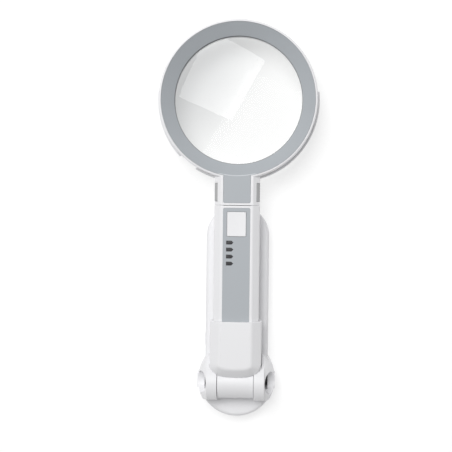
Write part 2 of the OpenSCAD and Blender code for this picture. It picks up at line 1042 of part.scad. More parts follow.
module base_weight()
  color("#7c8084")
    difference() {
      between_z(cover_z1, cover_z1 + weight_t) {
        translate([-18, foot_y + 27.8])
          square([36, slab_y1 - foot_y - 20.5]);
        translate([-10, foot_y])
          square([20, 30]);
        translate([0, foot_y])
          circle(18.5);
      }
      for (at = base_screws_at)
        translate([at.x, at.y, 0])
          cylinder(r = 3.2, h = 20);
    }

module base_feet()
  color("#3a3d40")
    for (at = feet_at)
      translate([at.x, at.y, 0])
        cylinder(r = 5, h = feet_h);

module base_screws()
  color("silver")
    for (at = base_screws_at)
      translate([at.x, at.y, feet_h + 0.1]) {
        cylinder(r = 2.3, h = 0.85);
        cylinder(r = 1, h = 6.4);
      }

head_front_shell();
head_rear_shell();
lens_bezel();
magnifier_lens();
lens_gasket();
light_ring_board();
light_ring_lamps();
light_diffuser();
head_contact_block();
head_screws();
latch_springs();
release_button_left();
release_button_right();
handle_front_shell();
handle_rear_shell();
handle_panel();
battery_level_windows();
battery_level_lamps();
power_switch();
control_board();
battery_cell();
charge_board();
usb_socket();
handle_wires();
handle_tongue();
contact_pins();
handle_screws();
power_button();
cradle_cup();
hinge_bushings();
friction_washers();
hinge_bolt();
hinge_nut();
hinge_cap_left();
hinge_cap_right();
base_top_shell();
base_bottom_cover();
base_weight();
base_feet();
base_screws();
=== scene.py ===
import math

import bmesh
import bpy
from mathutils import Matrix, Vector


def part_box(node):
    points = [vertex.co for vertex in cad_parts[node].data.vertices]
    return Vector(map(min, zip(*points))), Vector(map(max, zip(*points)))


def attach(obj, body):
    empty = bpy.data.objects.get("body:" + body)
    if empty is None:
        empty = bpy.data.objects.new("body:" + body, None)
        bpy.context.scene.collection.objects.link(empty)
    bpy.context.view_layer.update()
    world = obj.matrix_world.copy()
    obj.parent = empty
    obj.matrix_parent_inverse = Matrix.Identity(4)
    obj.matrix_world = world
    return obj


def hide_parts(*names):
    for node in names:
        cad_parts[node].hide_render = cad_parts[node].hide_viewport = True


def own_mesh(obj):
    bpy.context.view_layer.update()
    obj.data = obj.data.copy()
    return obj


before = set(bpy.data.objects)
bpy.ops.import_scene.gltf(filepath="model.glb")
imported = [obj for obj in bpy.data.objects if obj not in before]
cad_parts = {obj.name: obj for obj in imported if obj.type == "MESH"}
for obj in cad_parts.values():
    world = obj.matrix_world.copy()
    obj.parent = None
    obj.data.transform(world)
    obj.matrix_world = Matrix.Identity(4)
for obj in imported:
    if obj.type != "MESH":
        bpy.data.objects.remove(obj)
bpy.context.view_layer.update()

# ---------------------------------------------------------------------------
# Camera. It looks down on the folded magnifier as over a copying table, from
# a little to the right of its middle, with the handle almost upright.
# ---------------------------------------------------------------------------
camera_place = Vector((0.0292, 0.0067, 0.736))
camera_aim = Vector((-0.0074, -0.0034, 0.036))
camera_roll = math.radians(0.685)
camera_lens = 79.8
camera_sensor = 36

camera_data = bpy.data.cameras.new("camera")
camera_data.sensor_width = camera_sensor
camera_data.lens = camera_lens
camera = bpy.data.objects.new("camera", camera_data)
bpy.context.collection.objects.link(camera)
camera_back = (camera_place - camera_aim).normalized()
camera_side = Vector((math.cos(camera_roll), math.sin(camera_roll), 0))
camera_up = camera_back.cross(camera_side).normalized()
camera_side = camera_up.cross(camera_back)
camera.matrix_world = Matrix((
    (camera_side.x, camera_up.x, camera_back.x, camera_place.x),
    (camera_side.y, camera_up.y, camera_back.y, camera_place.y),
    (camera_side.z, camera_up.z, camera_back.z, camera_place.z),
    (0, 0, 0, 1),
))
bpy.context.scene.camera = camera
bpy.context.scene.view_settings.view_transform = "Standard"

# ---------------------------------------------------------------------------
# Table and light. A plain white table in an even white room. One soft box, up
# to the left and turned on its axis, shades the facets and shows as a pale
# square in the lens.
# ---------------------------------------------------------------------------
room_strength = 0.35
soft_box_way = Vector((-0.19, 0.31, 1)).normalized()
soft_box_distance = 1.55
soft_box_size = (0.78, 0.90)
soft_box_turn = math.radians(-58)
soft_box_power = 18.3
table_size = 12
table_gap = 0.0001
table_white = 0.44
table_glow = 0.62

world = bpy.data.worlds.new("room")
world.use_nodes = True
world.node_tree.nodes["Background"].inputs["Color"].default_value = (1, 1, 1, 1)
world.node_tree.nodes["Background"].inputs["Strength"].default_value = room_strength
bpy.context.scene.world = world

bpy.ops.object.select_all(action="DESELECT")
bpy.ops.mesh.primitive_plane_add(size=table_size, location=(0, 0, -table_gap))
table = bpy.context.object
table.name = "table"
table_paint = bpy.data.materials.new("table_white")
table_paint.use_nodes = True
table_shader = table_paint.node_tree.nodes["Principled BSDF"]
table_shader.inputs["Base Color"].default_value = (table_white, table_white, table_white, 1)
table_shader.inputs["Roughness"].default_value = 0.9
table_shader.inputs["Specular IOR Level"].default_value = 0.1
table_shader.inputs["Emission Color"].default_value = (1, 1, 1, 1)
table_shader.inputs["Emission Strength"].default_value = table_glow
table.data.materials.append(table_paint)


def area_light(name, way, distance, size, power, turn):
    """A rectangular light that faces the lens from the given direction, turned about its own axis."""
    low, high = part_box("magnifier_lens")
    aim = (Vector(low) + Vector(high)) / 2
    light = bpy.data.lights.new(name, "AREA")
    light.shape = "RECTANGLE"
    light.size, light.size_y = size
    light.energy = power
    lamp = bpy.data.objects.new(name, light)
    bpy.context.collection.objects.link(lamp)
    lamp.location = aim + way * distance
    lamp.rotation_mode = "QUATERNION"
    spin = Matrix.Rotation(turn, 3, "Z").to_quaternion()
    lamp.rotation_quaternion = way.to_track_quat("Z", "Y") @ spin


area_light("soft_box", soft_box_way, soft_box_distance, soft_box_size, soft_box_power, soft_box_turn)

# ---------------------------------------------------------------------------
# Head front shell. The white rim round the bezel and the front half of the
# neck, moulded in ABS in a finely sparked tool and screwed on from behind.
# ---------------------------------------------------------------------------
rim_round = 0.0004
rim_round_above = 0.0279
merge_distance = 0.000002
hair = 0.00001
flat_angle = math.radians(0.5)
smooth_angle = math.radians(32)
white_light = (0.85, 0.85, 0.865)
white_dark = (0.825, 0.825, 0.84)


class Value:
    """A shader socket that can stand in a formula: each operator adds its Math node."""

    def __init__(self, paint, socket):
        self.paint = paint
        self.socket = socket

    def _math(self, operation, first, second):
        return self.paint.node("ShaderNodeMath", {"operation": operation},
                               {0: first, 1: second}, "Value")

    def __add__(self, other):
        return self._math("ADD", self, other)

    def __radd__(self, other):
        return self._math("ADD", other, self)

    def __sub__(self, other):
        return self._math("SUBTRACT", self, other)

    def __rsub__(self, other):
        return self._math("SUBTRACT", other, self)

    def __mul__(self, other):
        return self._math("MULTIPLY", self, other)

    def __rmul__(self, other):
        return self._math("MULTIPLY", other, self)


class Paint:
    """A finish made of shader nodes round one Principled shader."""

    def __init__(self, name, constants):
        self.material = bpy.data.materials.new(name)
        self.material.use_nodes = True
        self.tree = self.material.node_tree
        self.shader = self.tree.nodes["Principled BSDF"]
        for socket, value in constants.items():
            self.shader.inputs[socket].default_value = value
        self.place = self.node("ShaderNodeTexCoord", {}, {}, "Object")

    def node(self, kind, settings, sockets, output):
        made = self.tree.nodes.new(kind)
        for name, value in settings.items():
            setattr(made, name, value)
        for name, value in sockets.items():
            if isinstance(value, Value):
                self.tree.links.new(value.socket, made.inputs[name])
            else:
                made.inputs[name].default_value = value
        return Value(self, made.outputs[output])

    def noise(self, scale, detail=2.0, place=None):
        sockets = {"Vector": place or self.place, "Scale": scale, "Detail": detail}
        return self.node("ShaderNodeTexNoise", {}, sockets, "Fac")

    def stretched(self, scale):
        return self.node("ShaderNodeMapping", {}, {"Vector": self.place, "Scale": scale}, "Vector")

    def mix(self, factor, first, second):
        sockets = {0: factor, 6: first if isinstance(first, Value) else (*first, 1),
                   7: second if isinstance(second, Value) else (*second, 1)}
        return self.node("ShaderNodeMix", {"data_type": "RGBA"}, sockets, 2)

    def feed(self, socket, value):
        self.tree.links.new(value.socket, self.shader.inputs[socket])

    def relief(self, height, depth, strength=1.0):
        sockets = {"Height": height, "Distance": depth, "Strength": strength}
        self.feed("Normal", self.node("ShaderNodeBump", {}, sockets, "Normal"))


def moulded_plastic(name, light, dark, roughness, grain, depth):
    """Plastic from a textured mould: a fine grain, a faint cloud in the colour and in the sheen."""
    paint = Paint(name, {})
    cloud = paint.noise(35.0)
    spark = paint.noise(grain, 3.0)
    paint.feed("Base Color", paint.mix(cloud, dark, light))
    paint.feed("Roughness", roughness - 0.05 + 0.08 * cloud + 0.06 * spark)
    paint.relief(spark, depth, 0.5)
    return paint.material


def copied_shape(node, name):
    """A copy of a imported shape, merged into one closed skin with its flat faces made whole."""
    piece = bpy.data.objects.new(name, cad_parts[node].data.copy())
    piece.data.name = name
    bpy.context.collection.objects.link(piece)
    bpy.ops.object.select_all(action="DESELECT")
    piece.select_set(True)
    bpy.context.view_layer.objects.active = piece
    bpy.ops.mesh.customdata_custom_splitnormals_clear()
    bpy.ops.object.mode_set(mode="EDIT")
    bpy.ops.mesh.select_all(action="SELECT")
    bpy.ops.mesh.remove_doubles(threshold=merge_distance)
    bpy.ops.mesh.dissolve_limited(angle_limit=flat_angle)
    bpy.ops.object.mode_set(mode="OBJECT")
    return piece


def round_edges(piece, width, segments, wanted, least=25, most=180):
    """Bevels the outward edges between least and most degrees that wanted() picks.

    wanted() is given the edge's middle and the normals of its two faces.
    """
    bpy.ops.object.mode_set(mode="EDIT")
    bpy.ops.mesh.select_mode(type="EDGE")
    bpy.ops.mesh.select_all(action="DESELECT")
    skin = bmesh.from_edit_mesh(piece.data)
    for edge in skin.edges:
        if len(edge.link_faces) == 2 and edge.is_convex:
            one, other = (face.normal for face in edge.link_faces)
            middle = (edge.verts[0].co + edge.verts[1].co) / 2
            turn = math.degrees(one.angle(other, 0))
            if least < turn < most and wanted(middle, one, other):
                edge.select_set(True)
    bmesh.update_edit_mesh(piece.data)
    bpy.ops.mesh.bevel(offset=width, offset_type="OFFSET", segments=segments, profile=0.5,
                       affect="EDGES", clamp_overlap=True)
    bpy.ops.object.mode_set(mode="OBJECT")


def finished(piece, node, body, material):
    """Gives a finished piece its shading, its material and its place in the object."""
    bpy.ops.object.select_all(action="DESELECT")
    piece.select_set(True)
    bpy.context.view_layer.objects.active = piece
    bpy.ops.object.mode_set(mode="EDIT")
    bpy.ops.mesh.select_all(action="SELECT")
    bpy.ops.mesh.remove_doubles(threshold=2 * merge_distance)
    bpy.ops.mesh.dissolve_degenerate(threshold=2 * merge_distance)
    bpy.ops.object.mode_set(mode="OBJECT")
    bpy.ops.object.shade_smooth_by_angle(angle=smooth_angle)
    flats = piece.modifiers.new("flats", "WEIGHTED_NORMAL")
    flats.keep_sharp = True
    bpy.ops.object.modifier_apply(modifier="flats")
    piece.data.materials.clear()
    piece.data.materials.append(material)
    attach(piece, body)
    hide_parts(node)


white_satin = moulded_plastic("white_satin", white_light, white_dark,
                              roughness=0.46, grain=2600.0, depth=0.00002)

lens_low, lens_high = (Vector(corner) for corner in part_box("magnifier_lens"))
lens_middle = (lens_low + lens_high) / 2
board_radius = (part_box("light_ring_board")[1][0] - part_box("light_ring_board")[0][0]) / 2


def from_axis(point):
    """Distance of a point from the optical axis."""
    return math.hypot(point.x - lens_middle.x, point.y - lens_middle.y)


head_front = copied_shape("head_front_shell", "head_front_moulding")
round_edges(head_front, rim_round, 3,
            lambda middle, one, other: middle.z > rim_round_above and (one.z > 0.3 or other.z > 0.3)
            and from_axis(middle) > board_radius)
finished(head_front, "head_front_shell", "head", white_satin)

# ---------------------------------------------------------------------------
# Head rear shell. The back half of the head and neck, with the raised band
# round its lower half for the fingers. It is the same white ABS, and two
# screws draw it up to the front shell.
# ---------------------------------------------------------------------------
neck_round = 0.0006
neck_end = 0.0275
band_round = 0.0003
band_start = 0.034
band_step = 0.0015


def along_neck(middle, one, other):
    """Edges that run along the neck or the handle, on the outside."""
    outside = one.x * middle.x > -1e-6 and other.x * middle.x > -1e-6
    return outside and abs(one.y) < 0.1 and abs(other.y) < 0.1


head_rear = copied_shape("head_rear_shell", "head_rear_moulding")
round_edges(head_rear, neck_round, 3,
            lambda middle, one, other: middle.y < neck_end and along_neck(middle, one, other),
            least=25, most=60)
round_edges(head_rear, band_round, 2,
            lambda middle, one, other: from_axis(middle) > board_radius + band_step
            and middle.y > band_start, least=30)
finished(head_rear, "head_rear_shell", "head", white_satin)

# ---------------------------------------------------------------------------
# Bezel. The grey cone round the lens, with the tab that runs down the neck,
# moulded in one piece in matt plastic and clipped into the front shell. A fine
# pale line where cone and tab meet is a painted highlight on the moulding's
# edge, and a thin dark ring at the opening is painted shade on its inner wall.
# ---------------------------------------------------------------------------
trim_light = (0.436, 0.462, 0.488)
trim_dark = (0.420, 0.446, 0.472)
# Painted highlight: the colour of the pale line along the bezel's crease.
painted_highlight_grey = (0.66, 0.685, 0.71)
bezel_radius = (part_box("lens_bezel")[1][0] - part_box("lens_bezel")[0][0]) / 2
crease_radius = bezel_radius - 0.0005
crease_width = 0.0004
crease_below = -0.052
bezel_round = 0.00025
opening_radius = 0.0451
opening_fade = (0.0004, 0.0001)
# Painted shade: the colour of the thin dark ring at the bezel's opening.
opening_painted_shade = (0.09, 0.092, 0.095)


def grey_trim(name, painted_light_marks):
    """Matt grey plastic; the flag adds a painted highlight where cone meets tab and painted shade at the
    opening.
    """
    paint = Paint(name, {})
    cloud = paint.noise(28.0)
    spark = paint.noise(3400.0, 3.0)
    colour = paint.mix(cloud, trim_dark, trim_light)
    if painted_light_marks:
        offset = paint.node("ShaderNodeVectorMath", {"operation": "SUBTRACT"},
                            {0: paint.place, 1: lens_middle}, "Vector")
        flat = paint.node("ShaderNodeVectorMath", {"operation": "MULTIPLY"},
                          {0: offset, 1: (1, 1, 0)}, "Vector")
        radius = paint.node("ShaderNodeVectorMath", {"operation": "LENGTH"}, {0: flat}, "Value")
        # Painted highlight: a pale line along the crease, standing for light caught by the moulding's
        # edge.
        off_line = radius - crease_radius
        highlight_line = paint.node("ShaderNodeMapRange", {"interpolation_type": "SMOOTHSTEP"},
                          {"Value": off_line * off_line, "From Min": crease_width ** 2,
                           "From Max": 0.0, "To Min": 0.0, "To Max": 1.0}, "Result")
        height = paint.node("ShaderNodeSeparateXYZ", {}, {"Vector": offset}, "Y")
        below = paint.node("ShaderNodeMath", {"operation": "LESS_THAN"},
                           {0: height, 1: crease_below}, "Value")
        colour = paint.mix(highlight_line * below, colour, painted_highlight_grey)
        # Painted shade: a thin dark ring at the opening, standing for the shadow on the bezel's inner
        # wall.
        opening_shade_mask = paint.node("ShaderNodeMapRange", {},
                          {"Value": radius, "From Min": opening_radius + opening_fade[0],
                           "From Max": opening_radius + opening_fade[1],
                           "To Min": 0.0, "To Max": 1.0}, "Result")
        colour = paint.mix(opening_shade_mask, colour, opening_painted_shade)
    paint.feed("Base Color", colour)
    paint.feed("Roughness", 0.52 + 0.06 * cloud + 0.05 * spark)
    paint.relief(spark, 0.00002, 0.5)
    return paint.material


bezel = copied_shape("lens_bezel", "bezel_trim")
round_edges(bezel, bezel_round, 2,
            lambda middle, one, other: one.z > 0.3 or other.z > 0.3, least=30)
finished(bezel, "lens_bezel", "head", grey_trim("grey_matt_bezel", True))

# ---------------------------------------------------------------------------
# Lens. A disc of clear optical plastic, polished to a shallow dome on both
# faces, with a fine ground edge that sits in the gasket.
# ---------------------------------------------------------------------------
lens_radius = (lens_high.x - lens_low.x) / 2
lens_edge = 0.0025
lens_rise = ((lens_high.z - lens_low.z) - lens_edge) / 2
lens_dome = (lens_radius ** 2 + lens_rise ** 2) / (2 * lens_rise)
lens_steps = 14
lens_chamfer = 0.0003
lens_tint = (0.968, 0.97, 0.968, 1)
# Painted shade: the lens lets less light through towards its upper left.
lens_shaded = (0.815, 0.82, 0.822, 1)
lens_shade_way = (-0.82, 0.57, 0)
lens_shade_start = -0.014
lens_gloss = 0.016
lens_rear_gloss = 0.3
lens_dust_gloss = 0.002


def select_faces(piece, wanted):
    """Selects in edit mode the faces whose middle and normal wanted(middle, normal) accepts."""
    bpy.ops.mesh.select_mode(type="FACE")
    bpy.ops.mesh.select_all(action="DESELECT")
    skin = bmesh.from_edit_mesh(piece.data)
    for face in skin.faces:
        if wanted(face.calc_center_median(), face.normal):
            face.select_set(True)
    bmesh.update_edit_mesh(piece.data)


def started(name):
    """The primitive just added, named, at the origin with its place in its mesh."""
    piece = bpy.context.object
    piece.name = name
    piece.data.name = name
    bpy.ops.object.transform_apply(location=True, rotation=True, scale=True)
    return piece


def dome_height(radius):
    """Height of the polished face above its own edge at a distance from the middle."""
    return math.sqrt(lens_dome ** 2 - radius ** 2) - (lens_dome - lens_rise)


bpy.ops.object.select_all(action="DESELECT")
bpy.ops.mesh.primitive_cylinder_add(vertices=160, radius=lens_radius, depth=lens_edge,
                                    location=lens_middle)
lens = started("lens_polished")
bpy.ops.object.mode_set(mode="EDIT")
for side in (1, -1):
    select_faces(lens, lambda middle, normal: normal.z * side > 0.9)
    bpy.ops.mesh.inset(thickness=lens_chamfer)
    radius = lens_radius - lens_chamfer
    step = radius / (lens_steps + 0.5)
    for _ in range(lens_steps):
        bpy.ops.mesh.inset(thickness=step)
        rise = dome_height(radius - step) - dome_height(radius)
        bpy.ops.transform.translate(value=(0, 0, side * rise))
        radius -= step
bpy.ops.object.mode_set(mode="OBJECT")

lens_paint = Paint("lens_clear", {})
lens_clear = lens_paint.node("ShaderNodeBsdfTransparent", {}, {"Color": lens_tint}, "BSDF")
lens_painted_shade = lens_paint.node("ShaderNodeBsdfTransparent", {}, {"Color": lens_shaded}, "BSDF")
lens_shine = lens_paint.node("ShaderNodeBsdfGlossy", {}, {"Roughness": 0.01}, "BSDF")
lens_dust = lens_paint.noise(420.0, 4.0)
# Painted shade: the light through the lens is dimmed towards its upper left, standing for the ring's
# shadow on the table seen through it.
lens_offset = lens_paint.node("ShaderNodeVectorMath", {"operation": "SUBTRACT"},
                              {0: lens_paint.place, 1: lens_middle}, "Vector")
lens_slant = lens_paint.node("ShaderNodeVectorMath", {"operation": "DOT_PRODUCT"},
                             {0: lens_offset, 1: lens_shade_way}, "Value")
lens_painted_shade_mask = lens_paint.node("ShaderNodeMapRange", {"interpolation_type": "SMOOTHSTEP"},
                                 {"Value": lens_slant, "From Min": lens_shade_start,
                                  "From Max": lens_radius, "To Min": 0.0, "To Max": 1.0}, "Result")
lens_height = lens_paint.node("ShaderNodeSeparateXYZ", {}, {"Vector": lens_offset}, "Z")
lens_front = lens_paint.node("ShaderNodeMath", {"operation": "GREATER_THAN"},
                             {0: lens_height, 1: 0.0}, "Value")
lens_facing = lens_rear_gloss + (1 - lens_rear_gloss) * lens_front
lens_mirror = (lens_gloss + lens_dust_gloss * lens_dust) * lens_facing
lens_through = lens_paint.node("ShaderNodeMixShader", {},
                               {0: lens_painted_shade_mask, 1: lens_clear, 2: lens_painted_shade}, "Shader")
lens_mixed = lens_paint.node("ShaderNodeMixShader", {},
                             {0: lens_mirror, 1: lens_through, 2: lens_shine}, "Shader")
lens_paint.tree.links.new(lens_mixed.socket, lens_paint.tree.nodes["Material Output"].inputs["Surface"])
finished(lens, "magnifier_lens", "head", lens_paint.material)

# ---------------------------------------------------------------------------
# Lens gasket. A ring of pale silicone that grips the lens's edge inside the
# shell and stops it from rattling.
# ---------------------------------------------------------------------------
silicone_light = (0.42, 0.43, 0.43)
silicone_dark = (0.36, 0.37, 0.37)


def carried(node, material):
    """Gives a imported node, shown as it is, its material."""
    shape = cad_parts[node]
    shape.data.materials.clear()
    shape.data.materials.append(material)


carried("lens_gasket", moulded_plastic("silicone_pale", silicone_light, silicone_dark,
                                       roughness=0.6, grain=900.0, depth=0.00003))

# ---------------------------------------------------------------------------
# Light ring. A white board with its lamps facing down, behind an opal plastic
# ring with fine concentric prisms. The rear shell holds them inside the rim.
# ---------------------------------------------------------------------------
opal_groove = (0.78, 0.79, 0.78)
opal_ridge = (0.88, 0.88, 0.86)
phosphor_dark = (0.80, 0.66, 0.22)
phosphor_light = (0.90, 0.80, 0.38)

opal_paint = Paint("opal_prisms", {"Roughness": 0.4})
opal_place = opal_paint.node("ShaderNodeMapping", {},
                             {"Vector": opal_paint.place, "Location": (0, -lens_middle.y, 0)}, "Vector")
opal_rings = opal_paint.node("ShaderNodeTexWave",
                             {"wave_type": "RINGS", "rings_direction": "Z", "wave_profile": "SIN"},
                             {"Vector": opal_place, "Scale": 260.0}, "Fac")
opal_paint.feed("Base Color", opal_paint.mix(opal_rings, opal_groove, opal_ridge))
opal_paint.relief(opal_rings, 0.0002, 0.6)
carried("light_diffuser", opal_paint.material)

board_white = moulded_plastic("board_white", (0.80, 0.82, 0.79), (0.72, 0.75, 0.71),
                              roughness=0.35, grain=1500.0, depth=0.00002)
carried("light_ring_board", board_white)

lamp_paint = Paint("lamp_phosphor", {})
lamp_cloud = lamp_paint.noise(900.0)
lamp_paint.feed("Base Color", lamp_paint.mix(lamp_cloud, phosphor_dark, phosphor_light))
lamp_paint.feed("Roughness", 0.25 + 0.2 * lamp_cloud)
carried("light_ring_lamps", lamp_paint.material)
carried("battery_level_lamps", lamp_paint.material)

# ---------------------------------------------------------------------------
# Head contact block and latch springs. A black plastic socket for the three
# contact pins, and a bent steel leaf behind each release button.
# ---------------------------------------------------------------------------
leaf_round = 0.00008


def metal(name, colour, roughness, grain, depth):
    """Bare metal with drawn or rolled lines along the object and faint stains in its sheen."""
    paint = Paint(name, {"Metallic": 1.0})
    lines = paint.noise(grain, 3.0, paint.stretched((1.0, 0.06, 1.0)))
    stain = paint.noise(160.0)
    darker = tuple(0.85 * part for part in colour)
    paint.feed("Base Color", paint.mix(lines, darker, colour))
    paint.feed("Roughness", roughness + 0.12 * stain + 0.06 * lines)
    paint.relief(lines, depth, 0.4)
    return paint.material


socket_black = moulded_plastic("moulded_black", (0.045, 0.047, 0.05), (0.03, 0.032, 0.034),
                               roughness=0.55, grain=2200.0, depth=0.00003)
spring_steel = metal("spring_steel", (0.62, 0.63, 0.65), roughness=0.28, grain=2400.0, depth=0.00001)
carried("head_contact_block", socket_black)

for side, hand in ((-1, "left"), (1, "right")):
    leaf = copied_shape("latch_springs", "latch_leaf_" + hand)
    bpy.ops.object.mode_set(mode="EDIT")
    select_faces(leaf, lambda middle, normal: middle.x * side < 0)
    bpy.ops.mesh.delete(type="FACE")
    bpy.ops.object.mode_set(mode="OBJECT")
    round_edges(leaf, leaf_round, 2,
                lambda middle, one, other: max(abs(one.z), abs(other.z)) > 0.9, least=60)
    finished(leaf, "latch_springs", "head", spring_steel)
    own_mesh(leaf)

# ---------------------------------------------------------------------------
# Release buttons. Two keys of matt grey plastic in the sides of the neck, held
# by the shells and grooved for the finger and thumb that squeeze them to pull
# the head off.
# ---------------------------------------------------------------------------
key_light = (0.45, 0.455, 0.46)
key_dark = (0.40, 0.405, 0.41)
key_round = 0.0003
key_grooves = 5
key_groove_radius = 0.00035
key_groove_pitch = 0.0019
key_groove_length = 0.009
key_groove_middle = 0.0052
key_grey = moulded_plastic("key_grey", key_light, key_dark, roughness=0.55, grain=2600.0, depth=0.00003)


def combined(piece, tool, operation):
    """Cuts a tool out of a piece, joins it on, or keeps what they share, and clears the tool away."""
    bpy.ops.object.select_all(action="DESELECT")
    piece.select_set(True)
    bpy.context.view_layer.objects.active = piece
    cut = piece.modifiers.new("combined", "BOOLEAN")
    cut.operation = operation
    cut.object = tool
    cut.solver = "EXACT"
    bpy.ops.object.modifier_apply(modifier="combined")
    bpy.data.objects.remove(tool, do_unlink=True)


for side, hand in ((-1, "left"), (1, "right")):
    node = "release_button_" + hand
    low, high = (Vector(corner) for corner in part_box(node))
    middle = (low + high) / 2
    outer = high.x if side > 0 else low.x
    key = copied_shape(node, "release_key_" + hand)
    round_edges(key, key_round, 2,
                lambda middle, one, other: one.x * side > 0.3 or other.x * side > 0.3, least=25)
    for number in range(key_grooves):
        along = middle.y + (number - (key_grooves - 1) / 2) * key_groove_pitch
        bpy.ops.object.select_all(action="DESELECT")
        bpy.ops.mesh.primitive_cylinder_add(vertices=16, radius=key_groove_radius,
                                            depth=key_groove_length,
                                            location=(outer, along, low.z + key_groove_middle))
        combined(key, started("groove_cutter"), "DIFFERENCE")
    finished(key, node, "release_" + hand, key_grey)

# ---------------------------------------------------------------------------
# Handle shells. Two halves of white ABS, eight-sided, with the edges between
# the flats softly rounded. Screws from the back hold them together.
# ---------------------------------------------------------------------------
handle_round = 0.0008
handle_end_round = 0.0004
end_opening_half = 0.0122
end_opening_low = 0.0172
end_opening_high = 0.0358

for half, name in (("handle_front_shell", "handle_front_moulding"),
                   ("handle_rear_shell", "handle_rear_moulding")):
    low, high = (Vector(corner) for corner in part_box(half))
    shell = copied_shape(half, name)
    round_edges(shell, handle_round, 3, along_neck, least=40, most=50)
    round_edges(shell, handle_end_round, 2,
                lambda middle, one, other: min(middle.y - low.y, high.y - middle.y) < hair
                and min(abs(one.y), abs(other.y)) < 0.1
                and (abs(middle.x) > end_opening_half or middle.z < end_opening_low
                     or middle.z > end_opening_high), least=60)
    finished(shell, half, "handle", white_satin)

# ---------------------------------------------------------------------------
# Handle panel. The long strip of matt grey plastic let into the front of the
# handle round the power button and the battery windows, stuck down in its recess.
# ---------------------------------------------------------------------------
panel_round = 0.00015


def top_edge(middle, one, other):
    """Edges of a face that looks straight up."""
    return one.z > 0.9 or other.z > 0.9


panel = copied_shape("handle_panel", "handle_trim")
round_edges(panel, panel_round, 2, top_edge, least=60)
finished(panel, "handle_panel", "handle", grey_trim("grey_matt", False))

# ---------------------------------------------------------------------------
# Battery windows. Four windows of smoked clear plastic pushed into the panel,
# each a small tag with its point to the right, over the lamps that count the
# charge left.
# ---------------------------------------------------------------------------
window_low, window_high = (Vector(corner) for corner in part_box("battery_level_windows"))
window_length = window_high.x - window_low.x
window_point = 0.0013
window_point_width = 0.3
window_width = 0.0026
window_round = 0.00012
window_count = 4
window_pitch = (window_high.y - window_low.y - window_width) / (window_count - 1)
smoke_dark = (0.035, 0.035, 0.038)
smoke_light = (0.055, 0.055, 0.058)

smoke = Paint("smoked_window", {"Specular IOR Level": 0.35})
smoke_depth = smoke.noise(240.0)
smoke.feed("Base Color", smoke.mix(smoke_depth, smoke_dark, smoke_light))
smoke.feed("Roughness", 0.16 + 0.1 * smoke_depth)

bpy.ops.object.select_all(action="DESELECT")
bpy.ops.mesh.primitive_cube_add(size=1)
window_first = bpy.context.object
window_first.scale = (window_length - window_point, window_width, window_high.z - window_low.z)
window_first.location = (window_low.x + (window_length - window_point) / 2,
                         window_high.y - window_width / 2, (window_low.z + window_high.z) / 2)
window_first = started("battery_window_1")
bpy.ops.object.mode_set(mode="EDIT")
select_faces(window_first, lambda middle, normal: normal.x > 0.9)
bpy.ops.mesh.extrude_region_move(TRANSFORM_OT_translate={"value": (window_point, 0, 0)})
bpy.ops.transform.resize(value=(1, window_point_width, 1),
                         center_override=(window_high.x, window_high.y - window_width / 2,
                                          window_high.z))
bpy.ops.object.mode_set(mode="OBJECT")
round_edges(window_first, window_round, 2, top_edge, least=60)


def moved_copy(pattern, name, shift):
    """A copy of a piece, with a mesh of its own, moved by shift."""
    copy = bpy.data.objects.new(name, pattern.data.copy())
    bpy.context.collection.objects.link(copy)
    copy.data.transform(Matrix.Translation(shift))
    return copy


for number in range(window_count):
    window = window_first
    if number:
        window = moved_copy(window_first, "battery_window_%d" % (number + 1),
                            (0, -number * window_pitch, 0))
    finished(window, "battery_level_windows", "handle", smoke.material)

# ---------------------------------------------------------------------------
# Power button. A thumb key moulded in white ABS, with a faintly dished face and
# softened edges; the flange under it keeps it in the handle.
# ---------------------------------------------------------------------------
button_low, button_high = (Vector(corner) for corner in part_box("power_button"))
button_skirt = 0.0009
button_flange = 0.0012
button_corner = 0.0008
button_edge = 0.0004
button_dish = 0.00025
button_dish_steps = (0.0014, 0.0012, 0.0012, 0.0012)
button_overlap = 0.0001
button_flange_short = 0.003
button_length = 0.0172
button_size = (button_high.x - button_low.x - 2 * button_skirt, button_length)
button_middle = (button_low.x + button_high.x) / 2
button_along = button_low.y + button_skirt + button_size[1] / 2

bpy.ops.object.select_all(action="DESELECT")
bpy.ops.mesh.primitive_cube_add(size=1)
button = bpy.context.object
button_bottom = button_low.z + button_flange - button_overlap
button.scale = (*button_size, button_high.z - button_bottom)
button.location = (button_middle, button_along, (button_high.z + button_bottom) / 2)
button = started("power_key_cap")
bpy.ops.object.mode_set(mode="EDIT")
select_faces(button, lambda middle, normal: normal.z > 0.9)
for step in button_dish_steps:
    bpy.ops.mesh.inset(thickness=step)
    bpy.ops.transform.translate(value=(0, 0, -button_dish / len(button_dish_steps)))
bpy.ops.object.mode_set(mode="OBJECT")
round_edges(button, button_corner, 4,
            lambda middle, one, other: abs(middle.z - (button_high.z + button_bottom) / 2) < 20 * hair,
            least=60)
round_edges(button, button_edge, 3,
            lambda middle, one, other: middle.z > button_high.z - hair, least=45)
bpy.ops.object.select_all(action="DESELECT")
bpy.ops.mesh.primitive_cube_add(size=1)
flange = bpy.context.object
flange_end = button_high.y - button_flange_short
flange.scale = (button_high.x - button_low.x, flange_end - button_low.y, button_flange)
flange.location = (button_middle, (button_low.y + flange_end) / 2, button_low.z + button_flange / 2)
started("key_flange")
button.select_set(True)
bpy.context.view_layer.objects.active = button
bpy.ops.object.join()
finished(button, "power_button", "power_key", white_satin)

# ---------------------------------------------------------------------------
# Inside the handle. Two green boards, the switch, the charging socket, a
# sleeved rechargeable cell and its wires; the nylon tongue and its gilt pins
# stand out of the top end and plug into the head.
# ---------------------------------------------------------------------------
mask_dark = (0.015, 0.10, 0.045)
mask_light = (0.02, 0.14, 0.06)
mask_over_track = (0.05, 0.22, 0.10)


